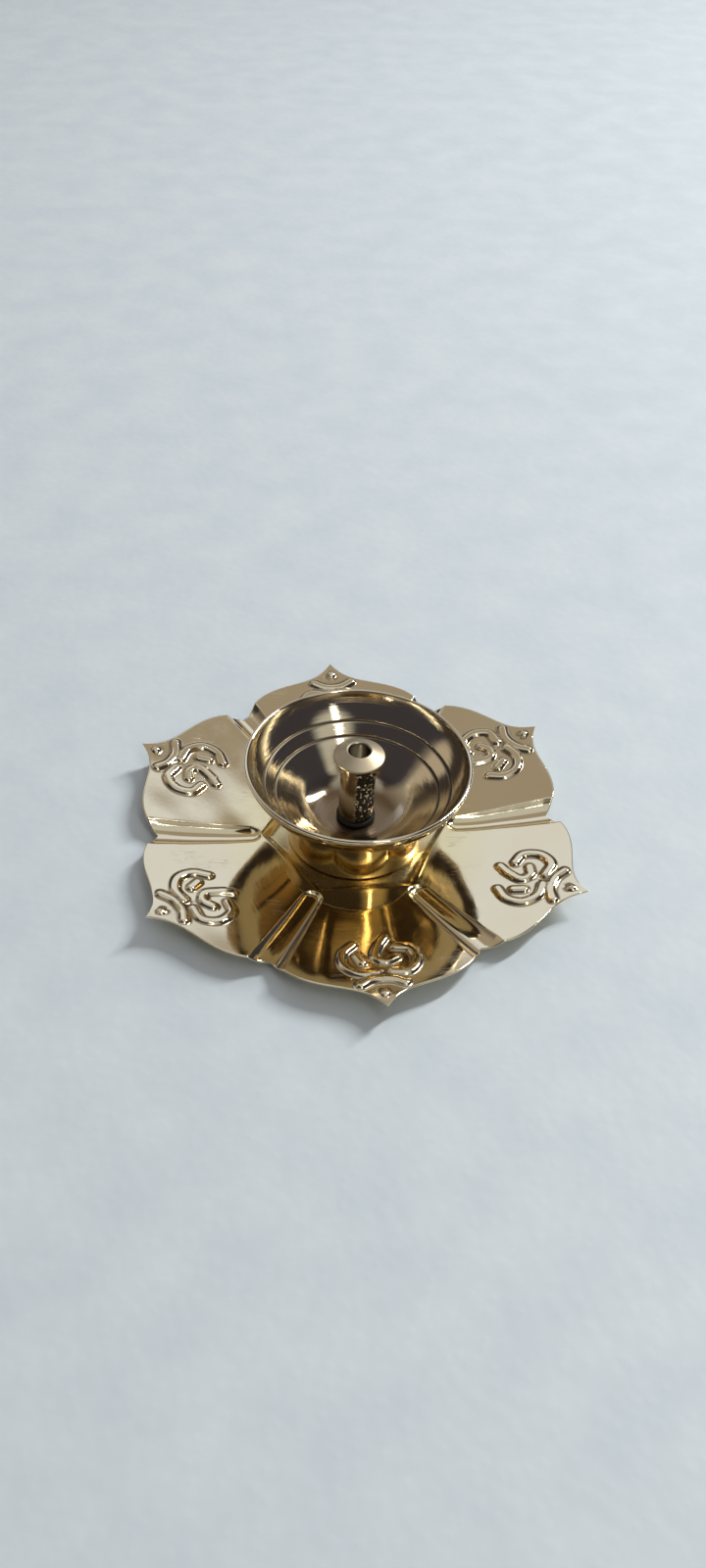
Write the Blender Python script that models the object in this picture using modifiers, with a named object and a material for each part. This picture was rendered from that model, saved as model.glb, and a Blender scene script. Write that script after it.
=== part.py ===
"""A brass diya: a cast and turned oil bowl with a wick post, screwed down through a pressed lotus plate.

Metres, +Z up. The origin is on the table, under the middle of the lamp. One petal points along +Y.
"""

import math

import bmesh
import bpy

MM = 0.001
MERGE = 0.00005
TABLE_CLEARANCE = 0.4 * MM
CONTACT_GAP = 0.3 * MM

# Lotus plate: a dish pressed from sheet. Radii are from the lamp's axis, and heights are of its upper face.
SHEET = 0.5 * MM
PETALS = 6
FIRST_TIP = math.radians(90)
TIP_R = 57.0 * MM
SHOULDER_R = 51.2 * MM
SHOULDER_DROP = 2.4 * MM
TIP_TAPER = math.radians(3.8)
NOTCH_R = 46.4 * MM
GROOVE_HALF_ANGLE = math.radians(4.6)
GROOVE_EDGE_DEPTH = 2.0 * MM
GROOVE_INNER_DEPTH = 1.1 * MM
GROOVE_RUN_IN = 3.0 * MM
LEDGE_APOTHEM = 19.4 * MM
LEDGE_RISE = 1.0 * MM
LEDGE_RUN = 0.9 * MM
PETAL_FOOT_Z = SHEET + LEDGE_RISE
TIP_Z = 6.7 * MM
PETAL_CURVE = 1.4
FLAT_INNER_R = 11.8 * MM
FLAT_BEND = 0.9 * MM
SEAT_R = 8.4 * MM
SEAT_Z = 3.4 * MM

# Oil bowl: a wall that leans in below the rim, a cone, a flat floor, and a hollow neck that stands on the plate.
RIM_R = 26.2 * MM
RIM_Z = 23.5 * MM
RIM_LEAN = math.radians(16)
BOWL_WALL = 1.0 * MM
CONE_R = 20.6 * MM
CONE_Z = 16.2 * MM
FLOOR_R = 10.7 * MM
FLOOR_Z = 6.2 * MM
FLOOR_CORNER = 4.8 * MM
NECK_R = 15.8 * MM
NECK_WALL = 1.3 * MM
NECK_FOOT_Z = SHEET + CONTACT_GAP
BOSS_R = 6.6 * MM
BOSS_Z = SEAT_Z + CONTACT_GAP

# Wick post, with the wick's bore in its head and the screw's hole in its foot.
HEAD_R = 5.9 * MM
HEAD_EDGE = 0.5 * MM
HEAD_Z = 25.3 * MM
POST_TOP_Z = 26.9 * MM
SHAFT_R = 4.1 * MM
WICK_BORE_R = 2.5 * MM
WICK_BORE_DEPTH = 9.0 * MM
BORE_CHAMFER = 0.4 * MM
TAPPED_DEPTH = 7.0 * MM

# Sealing ring under the post, and the screw and washer under the plate.
SEAL_R = 4.5 * MM
SEAL_HEIGHT = 1.0 * MM
SCREW_R = 2.0 * MM
SCREW_LENGTH = 12.0 * MM
SCREW_HEAD_R = 3.7 * MM
SCREW_HEAD_HEIGHT = 1.5 * MM
SLOT_WIDTH = 1.0 * MM
SLOT_DEPTH = 0.7 * MM
WASHER_R = 4.6 * MM
WASHER_THICKNESS = 0.45 * MM
HOLE_R = SCREW_R + CONTACT_GAP

SEAL_Z = FLOOR_Z + CONTACT_GAP
POST_FOOT_Z = SEAL_Z + SEAL_HEIGHT + CONTACT_GAP
WASHER_Z = SEAT_Z - SHEET - CONTACT_GAP - WASHER_THICKNESS
SCREW_HEAD_Z = TABLE_CLEARANCE

# Steps around the axis, and the plate's stations across half a petal and along it.
STEPS_LARGE = 60
STEPS_SMALL = 32
WALL_POINTS = 7
CORNER_POINTS = 6
HALF_PETAL = math.pi / PETALS
LIP_ANGLE = HALF_PETAL - GROOVE_HALF_ANGLE
PETAL_STATIONS = [0.0, 0.1, 0.24, 0.44, 0.68, 0.87, 1.0]
GROOVE_STATIONS = [0.5, 1.0]
PETAL_ROWS = [0.05, 0.15, 0.3, 0.46, 0.62, 0.78, 0.9, 1.0]

BRASS = (0.78, 0.66, 0.42, 1)
BRIGHT_BRASS = (0.74, 0.68, 0.52, 1)
BLACK_RUBBER = (0.03, 0.03, 0.03, 1)
STEEL = (0.55, 0.55, 0.53, 1)


def clear_scene():
    for obj in list(bpy.data.objects):
        bpy.data.objects.remove(obj, do_unlink=True)


def make_collection(name):
    collection = bpy.data.collections.new(name)
    bpy.context.scene.collection.children.link(collection)
    return collection


def make_material(name, colour, roughness, metallic):
    material = bpy.data.materials.new(name)
    material.use_nodes = True
    shader = material.node_tree.nodes["Principled BSDF"]
    shader.inputs["Base Color"].default_value = colour
    shader.inputs["Roughness"].default_value = roughness
    shader.inputs["Metallic"].default_value = metallic
    material.diffuse_color = colour
    return material


def add_object(name, mesh, collection, material=None):
    obj = bpy.data.objects.new(name, mesh)
    collection.objects.link(obj)
    if material:
        mesh.materials.append(material)
    return obj


def turned(name, profile, closed, steps, collection, material):
    """A solid turned about Z from (radius, height) points that run down its outer side."""
    mesh = bpy.data.meshes.new(name)
    count = len(profile)
    edges = [(i, i + 1) for i in range(count - 1)]
    if closed:
        edges.append((count - 1, 0))
    mesh.from_pydata([(r, 0, z) for r, z in profile], edges, [])
    obj = add_object(name, mesh, collection, material)
    screw = obj.modifiers.new("Turn", "SCREW")
    screw.steps = steps
    screw.render_steps = steps
    screw.use_merge_vertices = True
    screw.merge_threshold = MERGE
    screw.use_smooth_shade = True
    return obj


def ring_profile(inner, outer, bottom, top):
    return [(inner, top), (outer, top), (outer, bottom), (inner, bottom)]


def smooth_step(share):
    share = min(max(share, 0.0), 1.0)
    return share * share * (3 - 2 * share)


# Lotus plate


def half_petal_angles():
    """Angles from a petal's middle line to the middle of the groove beside it."""
    flank = [share * LIP_ANGLE for share in PETAL_STATIONS]
    groove = [LIP_ANGLE + share * GROOVE_HALF_ANGLE for share in GROOVE_STATIONS]
    return flank + groove


def column_angles():
    """(direction, angle from the nearest petal's middle line) of each column, once around the plate."""
    half = half_petal_angles()
    columns = []
    for petal in range(PETALS):
        middle = FIRST_TIP + petal * 2 * HALF_PETAL
        columns += [(middle - angle, angle) for angle in reversed(half[1:])]
        columns += [(middle + angle, angle) for angle in half[:-1]]
    columns.append((columns[0][0] + 2 * math.pi, columns[0][1]))
    return columns


def outline_radius(angle):
    """The petal's ogee edge: a pointed tip, full shoulders, and a notch at the groove."""
    flank = min(angle, LIP_ANGLE)
    point = (TIP_R - SHOULDER_R) * math.exp(-flank / TIP_TAPER)
    lip_radius = SHOULDER_R + point - SHOULDER_DROP * (flank / LIP_ANGLE) ** 5
    notch_share = max(angle - LIP_ANGLE, 0.0) / GROOVE_HALF_ANGLE
    return lip_radius + (NOTCH_R - lip_radius) * notch_share


def ledge_radius(angle):
    """The foot of each petal runs straight from groove to groove, so the ledge is a hexagon."""
    return LEDGE_APOTHEM / math.cos(angle)


def groove_depth(radius, angle):
    across = (HALF_PETAL - angle) / GROOVE_HALF_ANGLE
    if across >= 1:
        return 0.0
    start = ledge_radius(HALF_PETAL)
    along = (radius - start) / (NOTCH_R - start)
    deep = GROOVE_INNER_DEPTH + (GROOVE_EDGE_DEPTH - GROOVE_INNER_DEPTH) * along
    return deep * smooth_step((radius - start) / GROOVE_RUN_IN) * (1 - across**2)


def petal_height(radius, angle):
    share = (radius - LEDGE_APOTHEM) / (TIP_R - LEDGE_APOTHEM)
    rise = (TIP_Z - PETAL_FOOT_Z) * share**PETAL_CURVE
    return PETAL_FOOT_Z + rise - groove_depth(radius, angle)


def plate_rows(angle):
    """(radius, height) of the sheet's upper face, from the screw hole out to the petal's edge."""
    ledge = ledge_radius(angle)
    edge = outline_radius(angle)
    rows = [(HOLE_R, SEAT_Z), (SEAT_R, SEAT_Z)]
    rows += [(FLAT_INNER_R, SHEET), (FLAT_INNER_R + FLAT_BEND, SHEET)]
    rows += [(ledge - LEDGE_RUN - FLAT_BEND, SHEET), (ledge - LEDGE_RUN, SHEET)]
    for share in [0.0] + PETAL_ROWS:
        radius = ledge + (edge - ledge) * share
        rows.append((radius, petal_height(radius, angle)))
    return rows


def make_lotus_plate(collection, material):
    """A flat grid wrapped round the axis, lifted to the dish's shape and thickened downwards."""
    columns = column_angles()
    row_count = len(plate_rows(0.0)) - 1
    column_count = len(columns) - 1
    bm = bmesh.new()
    bmesh.ops.create_grid(bm, x_segments=column_count, y_segments=row_count, size=0.5)
    for vertex in bm.verts:
        direction, angle = columns[round((vertex.co.x + 0.5) * column_count)]
        radius, height = plate_rows(angle)[round((vertex.co.y + 0.5) * row_count)]
        vertex.co = (radius * math.cos(direction), radius * math.sin(direction), height)
    bmesh.ops.remove_doubles(bm, verts=bm.verts, dist=MERGE)
    bmesh.ops.recalc_face_normals(bm, faces=bm.faces)
    if sum(face.normal.z for face in bm.faces) < 0:
        bmesh.ops.reverse_faces(bm, faces=bm.faces)
    mesh = bpy.data.meshes.new("lotus_plate")
    bm.to_mesh(mesh)
    bm.free()
    plate = add_object("lotus_plate", mesh, collection, material)
    solidify = plate.modifiers.new("Sheet", "SOLIDIFY")
    solidify.thickness = SHEET
    solidify.offset = -1
    solidify.use_even_offset = True
    return plate


# Oil bowl


def curve(start, bend, end, count):
    """(radius, height) points from start to end, on a curve whose ends point at bend."""
    points = []
    for i in range(count):
        t = i / (count - 1)
        points.append(tuple((1 - t) ** 2 * a + 2 * t * (1 - t) * b + t * t * c for a, b, c in zip(start, bend, end)))
    return points


def bowl_inside():
    """(radius, height) points down the inside, from the lip to the flat floor."""
    lip = (RIM_R - BOWL_WALL, RIM_Z - BOWL_WALL / 2)
    lean = math.tan(RIM_LEAN)
    slope = (CONE_Z - FLOOR_Z) / (CONE_R - FLOOR_R)
    bend_r = (lip[0] - lean * (lip[1] - CONE_Z + slope * CONE_R)) / (1 - lean * slope)
    bend = (bend_r, CONE_Z + slope * (bend_r - CONE_R))
    share = FLOOR_CORNER / math.hypot(CONE_R - FLOOR_R, CONE_Z - FLOOR_Z)
    corner = (FLOOR_R + (CONE_R - FLOOR_R) * share, FLOOR_Z + (CONE_Z - FLOOR_Z) * share)
    wall = curve(lip, bend, (CONE_R, CONE_Z), WALL_POINTS)
    return wall + curve(corner, (FLOOR_R, FLOOR_Z), (FLOOR_R - FLOOR_CORNER, FLOOR_Z), CORNER_POINTS)


def offset(points, distance):
    """The same line moved sideways, to the outside of the bowl."""
    moved = []
    for i, (r, z) in enumerate(points):
        before = points[max(i - 1, 0)]
        after = points[min(i + 1, len(points) - 1)]
        run, drop = after[0] - before[0], after[1] - before[1]
        length = math.hypot(run, drop)
        moved.append((r - drop / length * distance, z + run / length * distance))
    return moved


def height_at(points, radius):
    """Height of a line of falling radius where it passes the given radius."""
    for (r1, z1), (r2, z2) in zip(points, points[1:]):
        if r1 >= radius >= r2:
            return z1 + (z2 - z1) * (r1 - radius) / (r1 - r2)
    raise ValueError("The line doesn't pass that radius")


def make_oil_bowl(collection, material):
    inner = bowl_inside()
    outer = offset(inner, BOWL_WALL)
    bore_r = NECK_R - NECK_WALL
    lip = [
        (RIM_R - BOWL_WALL * 2 / 3, RIM_Z),
        (RIM_R - BOWL_WALL / 3, RIM_Z),
    ]
    neck = [
        (NECK_R, height_at(outer, NECK_R)),
        (NECK_R, NECK_FOOT_Z),
        (bore_r, NECK_FOOT_Z),
        (bore_r, height_at(outer, bore_r)),
    ]
    above = [point for point in outer if point[0] > NECK_R]
    below = [point for point in outer if point[0] < bore_r]
    boss = [(BOSS_R, FLOOR_Z - BOWL_WALL), (BOSS_R, BOSS_Z), (HOLE_R, BOSS_Z), (HOLE_R, FLOOR_Z)]
    profile = lip + above + neck + below + boss + inner[::-1]
    return turned("oil_bowl", profile, True, STEPS_LARGE, collection, material)


# Wick post and its seal


def make_wick_post(collection, material):
    bore_floor_z = POST_TOP_Z - WICK_BORE_DEPTH
    tapped_end_z = POST_FOOT_Z + TAPPED_DEPTH
    profile = [
        (0, bore_floor_z),
        (WICK_BORE_R, bore_floor_z),
        (WICK_BORE_R, POST_TOP_Z - BORE_CHAMFER),
        (WICK_BORE_R + BORE_CHAMFER, POST_TOP_Z),
        (HEAD_R, HEAD_Z),
        (HEAD_R, HEAD_Z - HEAD_EDGE),
        (SHAFT_R, HEAD_Z - HEAD_EDGE - (HEAD_R - SHAFT_R) / 3),
        (SHAFT_R, POST_FOOT_Z),
        (HOLE_R, POST_FOOT_Z),
        (HOLE_R, tapped_end_z),
        (0, tapped_end_z + HOLE_R / 2),
    ]
    return turned("wick_post", profile, False, STEPS_SMALL, collection, material)


def make_post_seal(collection, material):
    profile = ring_profile(HOLE_R, SEAL_R, SEAL_Z, SEAL_Z + SEAL_HEIGHT)
    return turned("post_seal", profile, True, STEPS_SMALL, collection, material)


# Fixings under the plate


def make_slot_cutter(collection):
    bm = bmesh.new()
    bmesh.ops.create_cube(bm, size=1)
    size = (SCREW_HEAD_R * 3, SLOT_WIDTH, SLOT_DEPTH * 2)
    bmesh.ops.scale(bm, verts=bm.verts, vec=size)
    mesh = bpy.data.meshes.new("slot_cutter")
    bm.to_mesh(mesh)
    bm.free()
    cutter = add_object("slot_cutter", mesh, collection)
    cutter.location.z = SCREW_HEAD_Z
    cutter.hide_render = True
    cutter.display_type = "WIRE"
    return cutter


def make_fixing_screw(collection, cutters, material):
    shoulder_z = SCREW_HEAD_Z + SCREW_HEAD_HEIGHT
    tip_z = shoulder_z + SCREW_LENGTH
    profile = [
        (0, tip_z),
        (SCREW_R * 0.7, tip_z),
        (SCREW_R, tip_z - SCREW_R * 0.3),
        (SCREW_R, shoulder_z),
        (SCREW_HEAD_R, shoulder_z),
        (SCREW_HEAD_R, shoulder_z - SCREW_HEAD_HEIGHT * 0.6),
        (SCREW_HEAD_R * 0.8, SCREW_HEAD_Z),
        (0, SCREW_HEAD_Z),
    ]
    screw = turned("fixing_screw", profile, False, STEPS_SMALL, collection, material)
    cut = screw.modifiers.new("Slot", "BOOLEAN")
    cut.operation = "DIFFERENCE"
    cut.solver = "EXACT"
    cut.object = make_slot_cutter(cutters)
    return screw


def make_flat_washer(collection, material):
    profile = ring_profile(HOLE_R, WASHER_R, WASHER_Z, WASHER_Z + WASHER_THICKNESS)
    return turned("flat_washer", profile, True, STEPS_SMALL, collection, material)


def main():
    clear_scene()
    lamp = make_collection("diya_oil_lamp")
    cutters = make_collection("cutters")
    make_lotus_plate(lamp, make_material("plate_brass", BRASS, 0.12, 1.0))
    make_oil_bowl(lamp, make_material("bowl_brass", BRIGHT_BRASS, 0.18, 1.0))
    make_wick_post(lamp, make_material("post_brass", BRIGHT_BRASS, 0.28, 1.0))
    make_post_seal(lamp, make_material("seal_rubber", BLACK_RUBBER, 0.7, 0.0))
    make_fixing_screw(lamp, cutters, make_material("screw_steel", STEEL, 0.3, 1.0))
    make_flat_washer(lamp, make_material("washer_steel", STEEL, 0.35, 1.0))


main()
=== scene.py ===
"""Looks for the brass diya: a pressed lotus plate, a turned oil bowl and a turned wick post.

Metres, +Z up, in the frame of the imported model. Outer sizes are read from its solids.
"""

import math

import bpy
import numpy as np
from mathutils import Matrix, Vector


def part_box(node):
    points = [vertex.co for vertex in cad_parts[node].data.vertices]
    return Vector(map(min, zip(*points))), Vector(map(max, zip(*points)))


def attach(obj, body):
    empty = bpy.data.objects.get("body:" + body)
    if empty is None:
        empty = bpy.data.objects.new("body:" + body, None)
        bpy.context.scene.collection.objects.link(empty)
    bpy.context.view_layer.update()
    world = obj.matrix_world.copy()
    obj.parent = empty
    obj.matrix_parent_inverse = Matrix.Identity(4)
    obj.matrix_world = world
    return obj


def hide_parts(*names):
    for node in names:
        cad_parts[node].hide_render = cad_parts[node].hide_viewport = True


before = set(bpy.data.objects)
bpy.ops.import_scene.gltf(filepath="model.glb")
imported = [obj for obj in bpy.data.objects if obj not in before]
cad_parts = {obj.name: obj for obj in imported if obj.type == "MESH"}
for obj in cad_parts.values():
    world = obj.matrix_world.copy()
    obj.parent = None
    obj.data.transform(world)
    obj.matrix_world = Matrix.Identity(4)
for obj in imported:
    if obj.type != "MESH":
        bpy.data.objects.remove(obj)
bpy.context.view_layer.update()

MM = 0.001
TURN = 2 * math.pi

# Sizes read from the solids
PLATE_LOW, PLATE_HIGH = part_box("lotus_plate")
BOWL_LOW, BOWL_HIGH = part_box("oil_bowl")
POST_LOW, POST_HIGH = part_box("wick_post")
SEAL_LOW, SEAL_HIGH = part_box("post_seal")

# Lotus plate. Radii are from the axis, and heights are of the sheet's upper face.
PETALS = 6
FIRST_TIP = math.radians(90)
HALF_PETAL = math.pi / PETALS
SHEET = 0.5 * MM
HOLE_R = 2.3 * MM
TIP_R = PLATE_HIGH.y
TIP_Z = PLATE_HIGH.z
SHOULDER_R = 51.2 * MM
SHOULDER_DROP = 2.4 * MM
TIP_TAPER = math.radians(3.8)
OUTLINE_SHARE = 0.9999
NOTCH_R = 46.4 * MM
LIP_ANGLE = HALF_PETAL - math.radians(4.6)
GROOVE_START_R = 22.2 * MM
GROOVE_WIDTHS = (2.4 * MM, 4.2 * MM)
GROOVE_DEPTHS = (0.8 * MM, 1.6 * MM)
GROOVE_POWER = 3.0
LEDGE_APOTHEM = 19.4 * MM
LEDGE_RISE = 1.0 * MM
LEDGE_RUN = 2.6 * MM
PETAL_FOOT_Z = SHEET + LEDGE_RISE
PETAL_CURVE = 1.4
PETAL_DOME = 0.35 * MM
FLAT_INNER_R = 11.8 * MM
SEAT_R = 8.4 * MM
SEAT_Z = 3.4 * MM
BEND_R = 0.45 * MM
BEND_SAMPLES = 7
UNDERSIDE_GAP = 0.05 * MM
EDGE_ROUND = 0.12 * MM
DENT = 0.035 * MM
DENT_START_R = 21 * MM
DENT_FADE = 10 * MM
# Each wave of the dents: length in millimetres, direction in degrees, phase
DENT_WAVES = ((31, 20, 0.3), (23, 75, 1.9), (19, 140, 4.1), (14, 105, 2.6), (11, 35, 5.2))

# Mesh of the plate: rows outwards over shares of the width, and columns out from a petal's middle
INNER_ROWS_R = 16 * MM
INNER_ROWS = 26
ROW_ZONES = ((0, 0.24, 34), (0.24, 0.45, 26), (0.45, 0.99, 90))
EDGE_ROWS = (0.996, 1.0)
SCROLL_ANGLE = math.radians(14)
FLANK_ANGLE = math.radians(22)
COLUMN_COUNTS = (44, 12, 30)
FIRST_CREASED_ROW = 60
CREASE_HOLLOW = 0.045 * MM
CREASE_LEAST = 0.25

# Relief on each petal, in its own plane: millimetres out from the axis and across to the left.
RELIEF_HEIGHT = 0.65 * MM
STROKE_HALF = 1.5 * MM
STROKE_FLAT = 0.55 * MM
BEAD_R = 1.15 * MM
BEAD_AT = 53.2 * MM
SCROLL = (
    [(46.4, 2.4), (46.6, 6.2), (43.4, 8.4), (39.6, 7.4), (38.6, 4.2)],
    [(42.2, 3.8), (43.2, 1.4), (41.6, -0.6), (38.4, 0.4), (35.8, 2.0)],
    [(46.8, -0.8), (46.8, -4.6), (44.2, -7.6), (40.4, -7.6), (37.6, -5.2)],
    [(43.2, -3.6), (41.0, -4.4)],
    [(50.2, 4.8), (48.9, 2.4), (48.6, 0.0), (49.0, -2.4), (50.4, -4.8)],
)

# Oil bowl
BOWL_WALL = 1.0 * MM
RIM_LEAN = math.radians(16)
CONE_R = 20.6 * MM
CONE_Z = 16.2 * MM
FLOOR_R = 10.7 * MM
FLOOR_Z = 6.2 * MM
FLOOR_CORNER = 4.8 * MM
NECK_R = 15.8 * MM
NECK_WALL = 1.3 * MM
NECK_FILLET = 0.5 * MM
NECK_BEND = 0.4 * MM
BOSS_R = 6.6 * MM
BOSS_Z = BOWL_LOW.z + 2.9 * MM
BOSS_FILLET = 0.3 * MM
BOSS_SPREAD = 0.8 * MM
LINE_HEIGHTS = (17.2 * MM, 14.6 * MM)
LINE_CUT = 0.12 * MM
LINE_HALF = 0.13 * MM
# How far the painted shade of the cut lines spreads, in line half-widths
LINE_SHADE_SPREAD = 1.7
LIP_STEPS = 13
WALL_ROWS = 60
CONE_ROWS = 90
CORNER_ROWS = 16
BOWL_STEPS = 256

# Wick post
HEAD_R = POST_HIGH.x
HEAD_Z = 25.3 * MM
HEAD_EDGE = 0.5 * MM
SHAFT_R = 4.1 * MM
ROUGH_SIDE = (0.70, -0.714)
CHIP_DEPTH = 0.13 * MM
# Each wave of the chips: radians per millimetre around and along the shaft, and phase
CHIP_WAVES = ((9.1, 4.3, 0.2), (-6.7, 8.9, 1.3), (13.7, -11.9, 2.2), (5.3, 15.1, 4.0), (-17.3, -7.9, 5.5))
BORE_R = 2.5 * MM
BORE_DEPTH = 9.0 * MM
BORE_CHAMFER = 0.35 * MM
SCREW_HOLE_DEPTH = 7 * MM
POST_CORNER = 0.12 * MM
POST_ROW = 0.2 * MM
POST_STEPS = 180
SEAL_ROUND = 0.28 * MM
SEAL_STEPS = 96

# Camera, fitted to the tips, rim and post
LENS = 33.34
CAMERA_DISTANCE = 0.3497
CAMERA_ELEVATION = math.radians(42.92)
CAMERA_AZIMUTH = math.radians(-9.11)
CAMERA_ROLL = math.radians(3.49)
AIM_SHIFT = (-1.03 * MM, 10.26 * MM)

# Colours of the plate, bowl, post, seal, screw and floor
BRASS = (0.95, 0.83, 0.58)
# Painted reflection: the deep gold of light bounced between the plate and the bowl
REFLECTED_GOLD = (0.92, 0.77, 0.40)
DULL_BRASS = (0.87, 0.72, 0.46)
# Painted shade: a dark brown laid into the plate's hollows, on the bowl's floor and down the post's shaft
SHADE_BROWN = (0.20, 0.13, 0.07)
BOWL_BRASS = (0.92, 0.81, 0.60)
# Painted shade in the bowl's cut lines
LINE_SHADE = (0.05, 0.04, 0.03)
# Lacquer gold darkened as painted shade, then a browner painted shade for the outside under the bowl's
# overhang
LACQUER_AND_SHADE = (0.66, 0.46, 0.19)
SHADED_BRASS = (0.42, 0.30, 0.15)
POST_BRASS = (0.62, 0.52, 0.36)
POST_DARK = (0.05, 0.045, 0.04)
POST_SPECK = (0.95, 0.90, 0.80)
BORE_BRASS = (0.74, 0.70, 0.62)
RUBBER = (0.010, 0.009, 0.009)
STEEL = (0.62, 0.62, 0.60)
STAINED_STEEL = (0.50, 0.47, 0.42)
FLOOR_COLOUR = (0.82, 0.88, 0.90)
FLOOR_SHADE = (0.74, 0.81, 0.84)

# Where finishes, painted shade and painted reflection change, by distance from the axis or by height
# Painted reflection: the plate's deeper gold near the bowl
PLATE_REFLECTED_GOLD = (19 * MM, 34 * MM)
PLATE_SATIN = (19 * MM, 21 * MM)
# Painted shade on the bowl's floor
BOWL_FLOOR_SHADE = (9.0 * MM, 14.0 * MM)
BOWL_SATIN = (6.5 * MM, 9.5 * MM)
# Painted shade: the bowl's outside browner higher up, under the overhang
NECK_SHADE = (7 * MM, 14 * MM)
POST_CHIPPED = (HEAD_Z - 2.4 * MM, HEAD_Z - 2.0 * MM)
# Painted shade on the post's shaft below the head
POST_SHAFT_SHADE = (HEAD_Z - 1.6 * MM, HEAD_Z - 0.6 * MM)
POST_SATIN = (HEAD_Z - 0.4 * MM, HEAD_Z)
BORE_EDGE = (BORE_R + 0.05 * MM, BORE_R + 0.2 * MM)

# The room. The panel's elevations are in degrees, and other edges are parts of a unit direction.
WALL_LIGHT = (0.33, 0.295, 0.255)
PANEL_LIGHT = (0.69, 0.75, 0.88)
DIM_LIGHT = (0.042, 0.039, 0.050)
CEILING_LIGHT = (0.52, 0.54, 0.56)
SIDE_LIGHT = (0.42, 0.37, 0.31)
FRONT_LIGHT = (0.46, 0.46, 0.44)
PANEL_ELEVATIONS = (31, 45.5)
PANEL_SOFTNESS = (0.03, 0.012)
PANEL_SLANT = 0.15
PANEL_SIDES = (0.45, 0.55)
CEILING_EDGE = (0.88, 0.93)
LIT_BEYOND = (0.05, 0.3)
LIT_ABOVE = (0.25, 0.4)
LIT_LEFT_OF = (0.5, 0.7)
LIT_OVERHEAD = (0.86, 0.92)
# Glows: direction, and the cosines at the edge and where each is full
SIDE_GLOW = ((-0.86, 0.42, 0.30), 0.955, 0.985)
FRONT_GLOW = ((0.34, -0.60, 0.72), 0.93, 0.975)

# Area lights: direction, distance, width and height, power, colour
KEY = ((0.62, 0.38, 0.68), 1.5, (0.10, 0.7), 14.5, (0.95, 0.98, 1.0))
STRIP = ((0.25, -0.64, 0.73), 1.1, (0.05, 0.9), 1.3, (1, 1, 1))


# Mesh helpers


def grid_faces(rows, columns, offset=0, flip=False, closed=True):
    """Quads of a grid whose vertices run row by row, wrapped round the axis when closed."""
    r = np.arange(rows - 1)[:, None]
    c = np.arange(columns if closed else columns - 1)[None, :]
    n = (c + 1) % columns
    here, below = r * columns, (r + 1) * columns
    quads = np.stack([here + c, here + n, below + n, below + c], -1)
    quads = quads.reshape(-1, 4) + offset
    return quads[:, ::-1] if flip else quads


def make_mesh(name, points, quads, smooth_angle=40):
    mesh = bpy.data.meshes.new(name)
    mesh.vertices.add(len(points))
    mesh.vertices.foreach_set("co", np.asarray(points, np.float32).ravel())
    mesh.loops.add(quads.size)
    mesh.loops.foreach_set("vertex_index", quads.astype(np.int32).ravel())
    mesh.polygons.add(len(quads))
    mesh.polygons.foreach_set("loop_start", np.arange(0, quads.size, 4, dtype=np.int32))
    mesh.update(calc_edges=True)
    mesh.validate()
    mesh.shade_smooth()
    mesh.set_sharp_from_angle(angle=math.radians(smooth_angle))
    obj = bpy.data.objects.new(name, mesh)
    bpy.context.scene.collection.objects.link(obj)
    return obj


def paint(obj, name, values):
    """A value for each vertex, for the material to read."""
    layer = obj.data.attributes.new(name, "FLOAT", "POINT")
    layer.data.foreach_set("value", np.asarray(values, np.float32).ravel())


def smooth_step(x):
    x = np.clip(x, 0, 1)
    return x * x * (3 - 2 * x)


def bezier(a, b, c, count):
    t = np.linspace(0, 1, count)[:, None]
    return (1 - t) ** 2 * np.array(a) + 2 * t * (1 - t) * np.array(b) + t**2 * np.array(c)


def corner_arc(before, here, after, radius, count):
    """Points on an arc that cuts the corner of a (radius, height) line."""
    here = Vector(here)
    a, b = Vector(before) - here, Vector(after) - here
    cut = min(radius, a.length * 0.45, b.length * 0.45)
    start, end = here + a.normalized() * cut, here + b.normalized() * cut
    return [tuple(p) for p in bezier(tuple(start), tuple(here), tuple(end), count)]


def rounded(points, radius):
    """A closed profile with every corner rounded."""
    around = [points[-1], *points, points[0]]
    out = []
    for corner in zip(around, around[1:], around[2:]):
        out += corner_arc(*corner, radius, 6)
    return out


def fillet(points, radius):
    """An open line with its inner corners rounded."""
    out = [tuple(points[0])]
    for corner in zip(points, points[1:], points[2:]):
        out += corner_arc(*corner, radius, 5)
    return out + [tuple(points[-1])]


def turned(name, profile, steps, smooth_angle=40, closed=True):
    """A (radius, height) profile, running down its outer side, turned once about Z."""
    angles = np.arange(steps) * TURN / steps
    r, z = np.array(profile).T
    height = np.repeat(z[:, None], steps, 1)
    points = np.stack([np.outer(r, np.cos(angles)), np.outer(r, np.sin(angles)), height], -1)
    rows = len(profile)
    quads = grid_faces(rows + 1 if closed else rows, steps) % (rows * steps)
    return make_mesh(name, points.reshape(-1, 3), quads[:, ::-1], smooth_angle)


# Lotus plate


def outline_radius(angle):
    flank = np.minimum(angle, LIP_ANGLE)
    point = (TIP_R - SHOULDER_R) * np.exp(-flank / TIP_TAPER)
    lip = SHOULDER_R + point - SHOULDER_DROP * (flank / LIP_ANGLE) ** 5
    notch_share = np.maximum(angle - LIP_ANGLE, 0) / (HALF_PETAL - LIP_ANGLE)
    return (lip + (NOTCH_R - lip) * notch_share) * OUTLINE_SHARE


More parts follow.
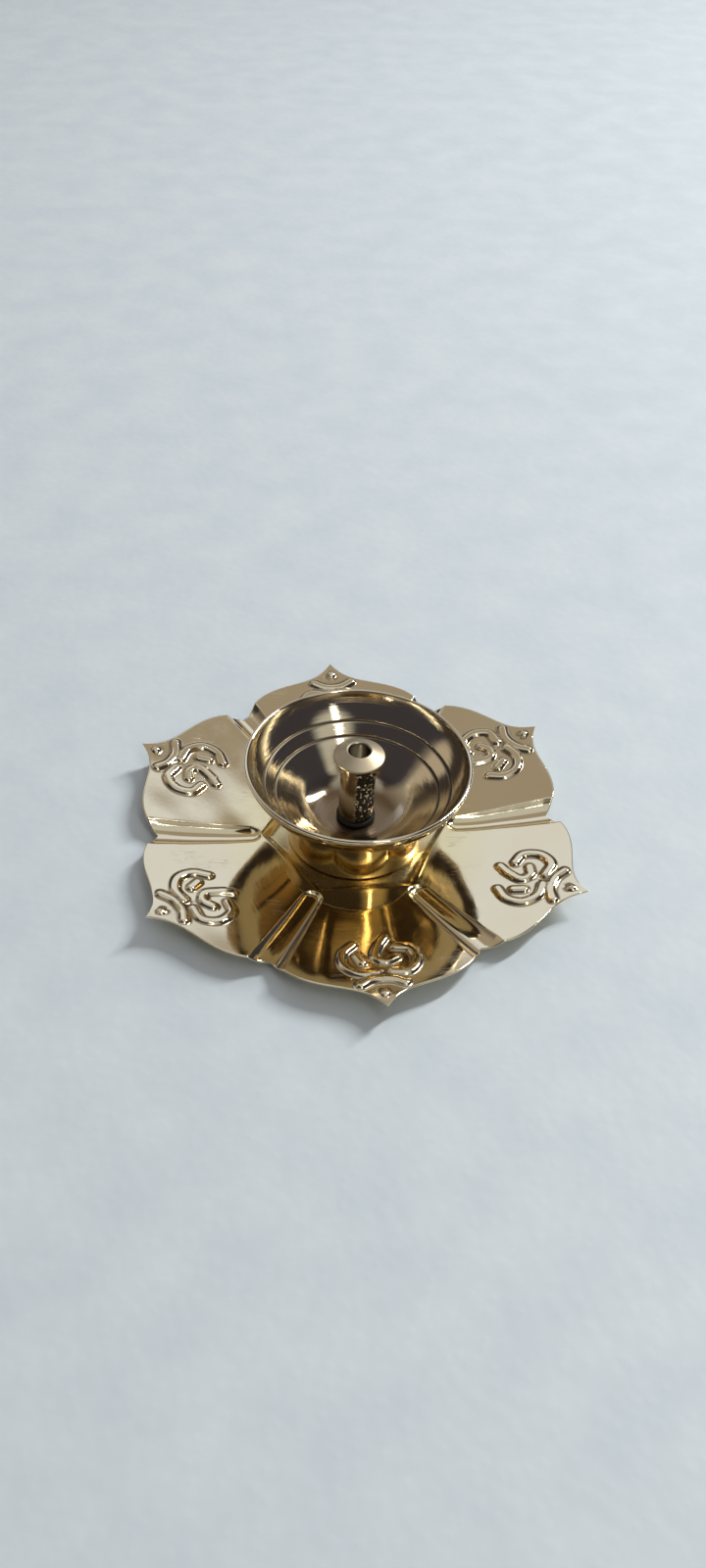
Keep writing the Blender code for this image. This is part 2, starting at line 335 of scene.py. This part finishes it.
def groove_depth(radius, angle):
    """A trough with a round inner end, on the line between two petals."""
    along = radius * np.cos(HALF_PETAL - angle) - GROOVE_START_R
    across = radius * np.sin(HALF_PETAL - angle)
    share = np.clip(along / (NOTCH_R - GROOVE_START_R), 0, 1)
    width = GROOVE_WIDTHS[0] + (GROOVE_WIDTHS[1] - GROOVE_WIDTHS[0]) * share
    deep = GROOVE_DEPTHS[0] + (GROOVE_DEPTHS[1] - GROOVE_DEPTHS[0]) * share
    from_line = np.hypot(across, np.maximum(width - along, 0)) / width
    return deep * np.maximum(1 - from_line**GROOVE_POWER, 0)


def petal_height(radius, angle):
    share = np.maximum(radius - LEDGE_APOTHEM, 0) / (TIP_R - LEDGE_APOTHEM)
    dome = PETAL_DOME * (angle / HALF_PETAL) ** 2 * smooth_step(share * 3)
    return PETAL_FOOT_Z + (TIP_Z - PETAL_FOOT_Z) * share**PETAL_CURVE - dome


def dish_height(radius, angle):
    """The sheet before its bends are rounded: seat, flat middle, ledge and petal."""
    ledge = LEDGE_APOTHEM / np.cos(angle)
    rise = smooth_step((radius - ledge) / LEDGE_RUN + 1) * (petal_height(ledge, angle) - SHEET)
    step = SEAT_Z + (SHEET - SEAT_Z) * (radius - SEAT_R) / (FLAT_INNER_R - SEAT_R)
    height = np.where(radius < FLAT_INNER_R, step, SHEET + rise)
    height = np.where(radius < SEAT_R, SEAT_Z, height)
    return np.where(radius > ledge, petal_height(radius, angle), height)


def spline(knots, count=12):
    """Points on a smooth line through the knots."""
    knots = np.array(knots, float)
    ends = np.concatenate([[2 * knots[0] - knots[1]], knots, [2 * knots[-1] - knots[-2]]])
    t = np.linspace(0, 1, count, endpoint=False)[:, None]
    parts = []
    for a, b, c, d in zip(ends, ends[1:], ends[2:], ends[3:]):
        square, cube = 2 * a - 5 * b + 4 * c - d, 3 * b - a - 3 * c + d
        parts.append(0.5 * (2 * b + (c - a) * t + square * t**2 + cube * t**3))
    return np.concatenate(parts + [knots[-1:]]) * MM


def stroke_distance(u, v, stroke):
    best = np.full(u.shape, 1.0)
    for (ax, ay), (bx, by) in zip(stroke[:-1], stroke[1:]):
        dx, dy = bx - ax, by - ay
        t = np.clip(((u - ax) * dx + (v - ay) * dy) / (dx * dx + dy * dy), 0, 1)
        best = np.minimum(best, np.hypot(u - ax - t * dx, v - ay - t * dy))
    return best


def relief_height(radius, offset):
    """A generic scroll of curling stems, with a crescent and a bead towards the petal's tip."""
    u = radius * np.cos(offset)
    v = radius * np.sin(offset)
    distance = np.minimum.reduce([stroke_distance(u, v, spline(stroke)) for stroke in SCROLL])
    band = 1 - smooth_step((distance - STROKE_FLAT) / (STROKE_HALF - STROKE_FLAT))
    bead = np.sqrt(np.clip(1 - ((u - BEAD_AT) ** 2 + v**2) / BEAD_R**2, 0, 1))
    return RELIEF_HEIGHT * np.maximum(band, bead)


def plate_columns():
    """(direction, signed offset from the petal's middle), dense at the relief and the grooves."""
    scroll = np.linspace(0, SCROLL_ANGLE, COLUMN_COUNTS[0])
    flank = np.linspace(SCROLL_ANGLE, FLANK_ANGLE, COLUMN_COUNTS[1])[1:]
    groove = np.linspace(FLANK_ANGLE, HALF_PETAL, COLUMN_COUNTS[2])[1:]
    half = np.concatenate([scroll, flank, groove])
    offset = np.concatenate([-half[::-1], half[1:-1]])
    direction = np.concatenate([FIRST_TIP + k * 2 * HALF_PETAL + offset for k in range(PETALS)])
    return direction, np.tile(offset, PETALS)


def dents(x, y):
    """Small slow waves, as hand pressing leaves in thin sheet."""
    waves = np.zeros(x.shape)
    for k, (length, turn, phase) in enumerate(DENT_WAVES):
        turn = math.radians(turn)
        distance = x * math.cos(turn) + y * math.sin(turn)
        waves += np.sin(TURN * distance / (length * MM) + phase) / (1 + 0.5 * k)
    return waves * DENT


def plate_points():
    """The sheet's upper face, row by row outwards."""
    direction, offset = plate_columns()
    angle = np.abs(offset)
    inner = np.linspace(HOLE_R, INNER_ROWS_R, INNER_ROWS)
    shares = np.concatenate([np.linspace(*zone)[1:] for zone in ROW_ZONES] + [EDGE_ROWS])
    edge = outline_radius(angle)
    outer = inner[-1] + shares[:, None] * (edge - inner[-1])[None, :]
    radius = np.concatenate([np.repeat(inner[:, None], len(direction), 1), outer])
    angle = np.broadcast_to(angle, radius.shape)
    x = radius * np.cos(direction)
    y = radius * np.sin(direction)
    reach = np.linspace(-BEND_R, BEND_R, BEND_SAMPLES)
    height = np.mean([dish_height(radius + d, angle) for d in reach], 0)
    height -= groove_depth(radius, angle)
    height += relief_height(radius, np.broadcast_to(offset, radius.shape))
    height += dents(x, y) * smooth_step((radius - DENT_START_R) / DENT_FADE)
    lowest = SHEET + UNDERSIDE_GAP
    height = np.where(radius > LEDGE_APOTHEM, np.maximum(height, lowest), height)
    return np.stack([x, y, height], -1)


def surface_normals(points):
    across = np.roll(points, -1, 1) - np.roll(points, 1, 1)
    along = np.gradient(points, axis=0)
    normal = np.cross(along, across)
    normal /= np.linalg.norm(normal, axis=-1, keepdims=True)
    return normal * np.sign(normal[..., 2:])


def creases(points):
    """How hollow the surface is at each point, from 0 to 1."""
    around = sum(np.roll(points[..., 2], k, 1) for k in (-2, -1, 1, 2)) / 4
    padded = np.pad(points[..., 2], ((2, 2), (0, 0)), "edge")
    along = (padded[:-4] + padded[1:-3] + padded[3:-1] + padded[4:]) / 4
    hollow = np.maximum((around + along) / 2 - points[..., 2], 0)
    hollow[:FIRST_CREASED_ROW] = 0
    return np.clip(hollow / CREASE_HOLLOW - CREASE_LEAST, 0, 1)


def make_lotus_plate():
    top = plate_points()
    normal = surface_normals(top)
    bottom = top - normal * SHEET
    top[-1, :, 2] -= EDGE_ROUND
    bottom[-1, :, :2] = top[-1, :, :2]
    bottom[-1, :, 2] = top[-1, :, 2] - SHEET + 2 * EDGE_ROUND
    bottom[..., 2] = np.maximum(bottom[..., 2], PLATE_LOW.z)
    rows, columns = top.shape[:2]
    loop = np.concatenate([top, bottom[::-1]])
    quads = grid_faces(rows * 2 + 1, columns) % (rows * 2 * columns)
    plate = make_mesh("lotus_plate_pressed", loop.reshape(-1, 3), quads[:, ::-1], 50)
    # The hollows, for painted shade in the material
    paint(plate, "crease_shade", np.concatenate([creases(top), np.zeros(bottom.shape[:2])]))
    return plate


# Oil bowl


def bowl_inside(rim_r, rim_z):
    """(radius, height) down the inside: a wall leaning in below the rim, a cone, a flat floor."""
    slope = (CONE_Z - FLOOR_Z) / (CONE_R - FLOOR_R)
    lean = math.tan(RIM_LEAN)
    bend_r = (rim_r - lean * (rim_z - CONE_Z + slope * CONE_R)) / (1 - lean * slope)
    bend = (bend_r, CONE_Z + slope * (bend_r - CONE_R))
    share = FLOOR_CORNER / math.hypot(CONE_R - FLOOR_R, CONE_Z - FLOOR_Z)
    corner = (FLOOR_R + (CONE_R - FLOOR_R) * share, FLOOR_Z + (CONE_Z - FLOOR_Z) * share)
    wall = bezier((rim_r, rim_z), bend, (CONE_R, CONE_Z), WALL_ROWS)
    cone = np.linspace((CONE_R, CONE_Z), corner, CONE_ROWS)[1:-1]
    floor = bezier(corner, (FLOOR_R, FLOOR_Z), (FLOOR_R - FLOOR_CORNER, FLOOR_Z), CORNER_ROWS)
    return np.concatenate([wall, cone, floor])


def offset_profile(profile, distance):
    step = np.gradient(profile, axis=0)
    normal = np.stack([-step[:, 1], step[:, 0]], -1)
    normal /= np.linalg.norm(normal, axis=1, keepdims=True)
    return profile + normal * distance


def make_oil_bowl():
    rim_r, rim_z = BOWL_HIGH.x, BOWL_HIGH.z
    inner = bowl_inside(rim_r - BOWL_WALL, rim_z - BOWL_WALL / 2)
    outer = offset_profile(inner, BOWL_WALL)
    for height in LINE_HEIGHTS:
        away = (inner[:, 1] - height) / LINE_HALF
        cut = LINE_CUT * np.exp(-(away**2))
        inner += np.stack([cut, -cut], -1)
    centre = (rim_r - BOWL_WALL / 2, rim_z - BOWL_WALL / 2)
    lip = [
        (centre[0] + BOWL_WALL / 2 * math.cos(a), centre[1] + BOWL_WALL / 2 * math.sin(a))
        for a in np.linspace(math.pi, 0, LIP_STEPS)[1:-1]
    ]
    bore_r = NECK_R - NECK_WALL
    join = np.interp(-NECK_R, -outer[:, 0], outer[:, 1])
    inner_join = np.interp(-bore_r, -outer[:, 0], outer[:, 1])
    above = outer[outer[:, 0] > NECK_R + NECK_BEND]
    below = outer[outer[:, 0] < bore_r]
    foot_z = BOWL_LOW.z
    neck_corners = [above[-1], (NECK_R, join), (NECK_R, foot_z), (bore_r, foot_z), (bore_r, inner_join)]
    neck = fillet(neck_corners, NECK_FILLET)
    under_z = FLOOR_Z - BOWL_WALL
    boss_foot_r = BOSS_R + BOSS_SPREAD
    boss_corners = [(boss_foot_r, under_z), (BOSS_R, under_z), (BOSS_R, BOSS_Z), (HOLE_R, BOSS_Z)]
    boss = fillet(boss_corners, BOSS_FILLET)
    profile = lip + [tuple(p) for p in above[:-1]] + neck + [tuple(p) for p in below] + boss
    profile += [(HOLE_R, FLOOR_Z)] + [tuple(p) for p in inner[::-1]]
    bowl = turned("oil_bowl_turned", profile, BOWL_STEPS)
    # Painted shade in and beside the cut lines, for the material
    line = np.zeros(len(profile))
    heights = inner[::-1, 1]
    for height in LINE_HEIGHTS:
        away = (heights - height + LINE_CUT) / (LINE_SHADE_SPREAD * LINE_HALF)
        line[-len(inner) :] += np.exp(-(away**2))
    paint(bowl, "crease_shade", np.repeat(np.minimum(line, 1), BOWL_STEPS))
    outside = np.zeros(len(profile))
    outside[len(lip) : -len(inner) - 1] = 1
    paint(bowl, "outside", np.repeat(outside, BOWL_STEPS))
    return bowl


# Wick post and seal


def chip_post(post):
    """Sinks small ragged chips into one side of the shaft."""
    points = np.empty(len(post.data.vertices) * 3, np.float32)
    post.data.vertices.foreach_get("co", points)
    points = points.reshape(-1, 3).astype(float)
    x, y, z = points.T / MM
    radius = np.hypot(x, y)
    facing = (x * ROUGH_SIDE[0] + y * ROUGH_SIDE[1]) / np.maximum(radius, 0.1)
    ragged = 0.05 * np.sin(3.1 * z) + 0.04 * np.sin(7.3 * z + 1.0)
    share = smooth_step((facing - 0.50 + ragged) / 0.08)
    share *= (radius > 0.9 * SHAFT_R / MM) * smooth_step((HEAD_Z / MM - 2.0 - z) / 0.6)
    around = np.arctan2(y, x) * SHAFT_R / MM
    rough = np.zeros(len(x))
    for a, b, phase in CHIP_WAVES:
        rough += np.sin(a * around + b * z + phase + 1.7 * np.sin(0.9 * b * around - 0.6 * a * z))
    low = share * CHIP_DEPTH * (0.6 + 0.4 * np.clip(rough / 2, -1, 1))
    points[:, :2] *= (1 - low / np.maximum(radius * MM, 0.1 * MM))[:, None]
    post.data.vertices.foreach_set("co", points.astype(np.float32).ravel())
    post.data.update()


def make_wick_post():
    top_z, foot_z = POST_HIGH.z, POST_LOW.z
    line = fillet(
        [
            (0, top_z - BORE_DEPTH),
            (BORE_R, top_z - BORE_DEPTH),
            (BORE_R, top_z - BORE_CHAMFER),
            (BORE_R + BORE_CHAMFER, top_z),
            (HEAD_R, HEAD_Z),
            (HEAD_R, HEAD_Z - HEAD_EDGE),
            (SHAFT_R + 0.25 * MM, HEAD_Z - HEAD_EDGE - 0.6 * MM),
            (SHAFT_R, HEAD_Z - HEAD_EDGE - 1.3 * MM),
            (SHAFT_R, foot_z),
            (HOLE_R, foot_z),
            (HOLE_R, foot_z + SCREW_HOLE_DEPTH),
            (0, foot_z + SCREW_HOLE_DEPTH + HOLE_R / 2),
        ],
        POST_CORNER,
    )
    line = [p for p in line if p[0] > 0 or p in (line[0], line[-1])]
    line = [(max(r, 0.02 * MM), z) for r, z in line]
    dense = []
    for (r1, z1), (r2, z2) in zip(line, line[1:]):
        count = max(1, round(math.hypot(r2 - r1, z2 - z1) / POST_ROW))
        dense += [(r1 + (r2 - r1) * k / count, z1 + (z2 - z1) * k / count) for k in range(count)]
    post = turned("wick_post_turned", dense + [line[-1]], POST_STEPS, closed=False)
    chip_post(post)
    return post


def make_post_seal():
    corners = [
        (SEAL_HIGH.x, SEAL_LOW.z),
        (HOLE_R, SEAL_LOW.z),
        (HOLE_R, SEAL_HIGH.z),
        (SEAL_HIGH.x, SEAL_HIGH.z),
    ]
    return turned("post_seal_ring", rounded(corners, SEAL_ROUND), SEAL_STEPS)


# Materials


def add(tree, kind, inputs=(), **settings):
    """A shader node whose inputs are set from values or linked from sockets."""
    node = tree.nodes.new("ShaderNode" + kind)
    for key, value in settings.items():
        setattr(node, key, value)
    for key, value in dict(inputs).items():
        if isinstance(value, bpy.types.NodeSocket):
            tree.links.new(value, node.inputs[key])
        else:
            node.inputs[key].default_value = value
    return node


def noise(tree, vector, scale, detail=2.0):
    inputs = {"Vector": vector, "Scale": scale, "Detail": detail}
    return add(tree, "TexNoise", inputs).outputs["Fac"]


def bands(tree, value, scale, detail=1.0):
    """Noise that changes along one value only."""
    inputs = {"W": value, "Scale": scale, "Detail": detail}
    return add(tree, "TexNoise", inputs, noise_dimensions="1D").outputs["Fac"]


def remap(tree, value, low, high, to_low=0.0, to_high=1.0):
    inputs = {"Value": value, "From Min": low, "From Max": high, "To Min": to_low, "To Max": to_high}
    return add(tree, "MapRange", inputs).outputs["Result"]


def calculate(tree, operation, a, b=0.0):
    return add(tree, "Math", {0: a, 1: b}, operation=operation).outputs[0]


def times(tree, a, b):
    return calculate(tree, "MULTIPLY", a, b)


def total(tree, first, *others):
    for value in others:
        first = calculate(tree, "ADD", first, value)
    return first


def mix(tree, share, a, b):
    """Two colours, each a socket or three numbers, mixed by share."""
    a, b = ((*c, 1) if isinstance(c, tuple) else c for c in (a, b))
    return add(tree, "MixRGB", {"Fac": share, "Color1": a, "Color2": b}).outputs[0]


def mix_values(tree, share, a, b):
    """Two numbers or value sockets, mixed by share."""
    return add(tree, "Mix", {0: share, 2: a, 3: b}).outputs[0]


def attribute(tree, name):
    return add(tree, "Attribute", attribute_name=name).outputs["Fac"]


def distance_out(tree, where):
    """Distance from the lamp's axis."""
    flat = add(tree, "VectorMath", {0: where, 1: (1, 1, 0)}, operation="MULTIPLY").outputs[0]
    return add(tree, "VectorMath", {0: flat}, operation="LENGTH").outputs["Value"]


def component(tree, where, direction):
    """How far a point lies in one direction."""
    inputs = {0: where, 1: direction}
    return add(tree, "VectorMath", inputs, operation="DOT_PRODUCT").outputs["Value"]


def height_of(tree, where):
    return add(tree, "SeparateXYZ", {0: where}).outputs["Z"]


def scratches(tree, vector, turn, length, width, share):
    """Fine broken lines at one angle, from the level lines of a stretched noise."""
    inputs = {
        "Vector": vector,
        "Rotation": (0, 0, math.radians(turn)),
        "Scale": (1 / length, 1 / width, 1 / width),
    }
    lines = noise(tree, add(tree, "Mapping", inputs).outputs[0], 1.0, 0.0)
    near = calculate(tree, "ABSOLUTE", calculate(tree, "SUBTRACT", lines, 0.5))
    line = remap(tree, near, 0.0, 0.006, 1.0, 0.0)
    patches = remap(tree, noise(tree, vector, 120.0, 0.0), 1 - share, 1.05 - share)
    return times(tree, line, patches)


def new_material(name, colour, metallic, roughness):
    material = bpy.data.materials.new(name)
    material.use_nodes = True
    tree = material.node_tree
    shader = tree.nodes["Principled BSDF"]
    shader.inputs["Base Color"].default_value = (*colour, 1)
    shader.inputs["Metallic"].default_value = metallic
    shader.inputs["Roughness"].default_value = roughness
    where = add(tree, "TexCoord").outputs["Object"]
    return material, tree, shader, where


def finish_material(tree, shader, colour=None, roughness=None, height=None, depth=0.0):
    if colour:
        tree.links.new(colour, shader.inputs["Base Color"])
    if roughness:
        tree.links.new(roughness, shader.inputs["Roughness"])
    if height:
        bump = add(tree, "Bump", {"Height": height, "Distance": depth})
        tree.links.new(bump.outputs[0], shader.inputs["Normal"])


def plate_brass():
    """Pressed sheet: bright on the petals, with a painted deeper gold reflection near the bowl, painted
    shade in its hollows, and fine scratches.
    """
    material, tree, shader, where = new_material("plate_brass", BRASS, 1.0, 0.07)
    # The sheet's hollows, where shade is painted
    crease_shade = attribute(tree, "crease_shade")
    out = distance_out(tree, where)
    cloud = noise(tree, where, 70.0, 3.0)
    colour = mix(tree, remap(tree, cloud, 0.35, 0.7, 0.0, 0.35), BRASS, DULL_BRASS)
    # Painted reflection: deeper gold towards the bowl
    colour = mix(tree, remap(tree, out, *PLATE_REFLECTED_GOLD, 0.8, 0.0), colour, REFLECTED_GOLD)
    # Painted shade in the hollows
    colour = mix(tree, times(tree, crease_shade, 0.75), colour, SHADE_BROWN)
    coarse = scratches(tree, where, 35, 0.02, 0.0009, 0.35)
    fine = scratches(tree, where, -50, 0.012, 0.0007, 0.3)
    marks = total(tree, coarse, fine)
    rough = remap(tree, noise(tree, where, 400.0, 4.0), 0.3, 0.75, 0.035, 0.10)
    satin = remap(tree, out, *PLATE_SATIN, 0.2, 0.0)
    rough = total(tree, rough, times(tree, crease_shade, 0.15), times(tree, marks, 0.12), satin)
    grain = noise(tree, where, 900.0, 3.0)
    height = calculate(tree, "SUBTRACT", times(tree, grain, 0.5), marks)
    finish_material(tree, shader, colour, rough, height, 0.006 * MM)
    return material


def bowl_brass():
    """Turned brass with the lathe's fine rings, painted shade on its floor and in its cut lines, and
    lacquer on the outside, darkened as painted shade and browner higher up under the overhang.
    """
    material, tree, shader, where = new_material("bowl_brass", BOWL_BRASS, 1.0, 0.2)
    out = distance_out(tree, where)
    high = height_of(tree, where)
    # The cut lines, where shade is painted
    line = attribute(tree, "crease_shade")
    down_side = total(tree, out, high)
    ring = bands(tree, down_side, 2600.0, 3.0)
    broad = bands(tree, down_side, 500.0)
    cloud = noise(tree, where, 110.0, 3.0)
    colour = mix(tree, remap(tree, cloud, 0.35, 0.75, 0.0, 0.4), BOWL_BRASS, DULL_BRASS)
    # Painted shade in the cut lines
    colour = mix(tree, line, colour, LINE_SHADE)
    # Painted shade, darkest on the floor of the bowl
    colour = mix(tree, remap(tree, out, *BOWL_FLOOR_SHADE, 0.92, 0.0), colour, SHADE_BROWN)
    # Outside: lacquer gold darkened as painted shade, turning to painted shade brown higher up under the
    # overhang
    gold = mix(tree, remap(tree, high, *NECK_SHADE), LACQUER_AND_SHADE, SHADED_BRASS)
    colour = mix(tree, attribute(tree, "outside"), colour, gold)
    rough = remap(tree, ring, 0.3, 0.7, 0.06, 0.11)
    satin = remap(tree, out, *BOWL_SATIN, 0.2, 0.0)
    rough = total(tree, rough, satin, times(tree, line, 0.4))
    height = total(tree, ring, times(tree, broad, 1.5))
    finish_material(tree, shader, colour, rough, height, 0.012 * MM)
    return material


def post_brass():
    """Turned brass, left rough and glittering down one side of the shaft, with painted shade on the shaft
    below the head.
    """
    material, tree, shader, where = new_material("post_brass", POST_BRASS, 1.0, 0.25)
    high = height_of(tree, where)
    ragged = calculate(tree, "SUBTRACT", noise(tree, where, 900.0, 2.0), 0.5)
    side = component(tree, where, (ROUGH_SIDE[0] / SHAFT_R, ROUGH_SIDE[1] / SHAFT_R, 0))
    side = total(tree, side, times(tree, ragged, 0.25))
    below_head = remap(tree, high, *POST_CHIPPED, 1.0, 0.0)
    rough_side = times(tree, remap(tree, side, 0.52, 0.58), below_head)
    chips = add(tree, "TexVoronoi", {"Vector": where, "Scale": 1500.0}).outputs["Distance"]
    chips = total(tree, chips, noise(tree, where, 2600.0, 3.0))
    rings = bands(tree, high, 5000.0)
    height = total(tree, times(tree, chips, times(tree, rough_side, 40.0)), rings)
    specks = remap(tree, noise(tree, where, 1300.0, 1.0), 0.58, 0.62)
    flaked = mix(tree, specks, POST_DARK, POST_SPECK)
    # Painted shade on the shaft below the head
    colour = mix(tree, remap(tree, high, *POST_SHAFT_SHADE, 0.55, 0.0), POST_BRASS, SHADE_BROWN)
    colour = mix(tree, rough_side, colour, flaked)
    bore = remap(tree, distance_out(tree, where), *BORE_EDGE, 1.0, 0.0)
    colour = mix(tree, bore, colour, BORE_BRASS)
    rough = remap(tree, rings, 0.3, 0.7, 0.14, 0.22)
    rough = total(tree, rough, remap(tree, high, *POST_SATIN, 0.0, 0.3))
    rough = mix_values(tree, bore, rough, 0.1)
    finish_material(tree, shader, colour, rough, height, 0.004 * MM)
    return material


def seal_rubber():
    material, tree, shader, where = new_material("seal_rubber", RUBBER, 0.0, 0.7)
    grain = noise(tree, where, 3000.0, 4.0)
    rough = remap(tree, grain, 0.3, 0.7, 0.65, 0.85)
    finish_material(tree, shader, None, rough, grain, 0.03 * MM)
    return material


def fixing_steel():
    material, tree, shader, where = new_material("fixing_steel", STEEL, 1.0, 0.3)
    grain = noise(tree, where, 1800.0, 4.0)
    cloud = noise(tree, where, 500.0, 2.0)
    colour = mix(tree, remap(tree, cloud, 0.45, 0.7), STEEL, STAINED_STEEL)
    rough = remap(tree, grain, 0.3, 0.7, 0.22, 0.45)
    finish_material(tree, shader, colour, rough, grain, 0.01 * MM)
    return material


def floor_foam():
    """A pale sheet of fine bead foam."""
    material, tree, shader, where = new_material("floor_foam", FLOOR_COLOUR, 0.0, 0.6)
    inputs = {"Vector": where, "Scale": 400.0}
    cells = add(tree, "TexVoronoi", inputs, feature="SMOOTH_F1").outputs["Distance"]
    cloud = noise(tree, where, 60.0, 3.0)
    colour = mix(tree, remap(tree, cloud, 0.3, 0.7), FLOOR_COLOUR, FLOOR_SHADE)
    colour = mix(tree, remap(tree, cells, 0.3, 0.8, 0.0, 0.25), colour, FLOOR_SHADE)
    finish_material(tree, shader, colour, None, cells, -0.08 * MM)
    return material


def dress(obj, material):
    obj.data.materials.clear()
    obj.data.materials.append(material)


# Stage, light and camera


def make_floor():
    bpy.ops.mesh.primitive_plane_add(size=3, location=(0, 0, 0))
    floor = bpy.context.object
    floor.name = "floor"
    dress(floor, floor_foam())


def add_area_light(name, direction, distance, size, power, colour):
    light = bpy.data.lights.new(name, "AREA")
    light.shape = "RECTANGLE"
    light.size, light.size_y = size
    light.energy = power
    light.color = colour
    obj = bpy.data.objects.new(name, light)
    bpy.context.scene.collection.objects.link(obj)
    obj.location = Vector(direction).normalized() * distance
    obj.rotation_euler = (-obj.location).to_track_quat("-Z", "Y").to_euler()


def glow(tree, where, direction, edge, middle):
    """A round soft-edged patch of the room, in one direction."""
    facing = component(tree, where, Vector(direction).normalized())
    return remap(tree, facing, edge, middle)


def panel_mask(tree, x, z):
    """A wide band beyond the lamp that slants across x."""
    up = calculate(tree, "SUBTRACT", z, times(tree, x, PANEL_SLANT))
    low, high = (math.sin(math.radians(e)) for e in PANEL_ELEVATIONS)
    soft_low, soft_high = PANEL_SOFTNESS
    from_below = remap(tree, up, low - soft_low, low + soft_low)
    from_above = remap(tree, up, high - soft_high, high + soft_high, 1.0, 0.0)
    from_sides = remap(tree, calculate(tree, "ABSOLUTE", x), *PANEL_SIDES, 1.0, 0.0)
    return times(tree, times(tree, from_below, from_above), from_sides)


def make_light():
    """A soft room: a brown wall with a pale panel beyond the lamp, and dim on the other sides."""
    world = bpy.data.worlds.new("studio")
    bpy.context.scene.world = world
    world.use_nodes = True
    tree = world.node_tree
    where = add(tree, "TexCoord").outputs["Generated"]
    x, y, z = add(tree, "SeparateXYZ", {0: where}).outputs
    room = mix(tree, panel_mask(tree, x, z), WALL_LIGHT, PANEL_LIGHT)
    room = mix(tree, remap(tree, z, *CEILING_EDGE), room, CEILING_LIGHT)
    lit = times(tree, remap(tree, y, *LIT_BEYOND), remap(tree, z, *LIT_ABOVE))
    lit = times(tree, lit, remap(tree, x, *LIT_LEFT_OF, 1.0, 0.0))
    lit = calculate(tree, "MAXIMUM", lit, remap(tree, z, *LIT_OVERHEAD))
    room = mix(tree, lit, DIM_LIGHT, room)
    room = mix(tree, glow(tree, where, *SIDE_GLOW), room, SIDE_LIGHT)
    room = mix(tree, glow(tree, where, *FRONT_GLOW), room, FRONT_LIGHT)
    tree.links.new(room, tree.nodes["Background"].inputs["Color"])
    tree.nodes["Background"].inputs["Strength"].default_value = 1.0
    add_area_light("key", *KEY)
    add_area_light("strip", *STRIP)


def make_camera():
    data = bpy.data.cameras.new("camera")
    data.lens = LENS
    data.clip_start = 0.01
    data.clip_end = 10
    camera = bpy.data.objects.new("camera", data)
    bpy.context.scene.collection.objects.link(camera)
    spin = Matrix.Rotation(CAMERA_AZIMUTH, 4, "Z")
    back = Vector((0, -math.cos(CAMERA_ELEVATION), math.sin(CAMERA_ELEVATION)))
    place = back * CAMERA_DISTANCE + Vector((*AIM_SHIFT, 0))
    aim = (-back).to_track_quat("-Z", "Y").to_matrix().to_4x4()
    roll = Matrix.Rotation(CAMERA_ROLL, 4, "Z")
    lift = Matrix.Translation((0, 0, TIP_Z))
    camera.matrix_world = lift @ spin @ Matrix.Translation(place) @ aim @ roll
    bpy.context.scene.camera = camera


def place(piece, make_material, body, node):
    dress(piece, make_material())
    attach(piece, body)
    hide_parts(node)


def main():
    bpy.context.scene.view_settings.view_transform = "Standard"
    make_camera()
    make_floor()
    make_light()
    place(make_lotus_plate(), plate_brass, "root", "lotus_plate")
    place(make_oil_bowl(), bowl_brass, "bowl", "oil_bowl")
    place(make_wick_post(), post_brass, "post", "wick_post")
    place(make_post_seal(), seal_rubber, "bowl", "post_seal")
    steel = fixing_steel()
    for node in ("fixing_screw", "flat_washer"):
        dress(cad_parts[node], steel)


main()
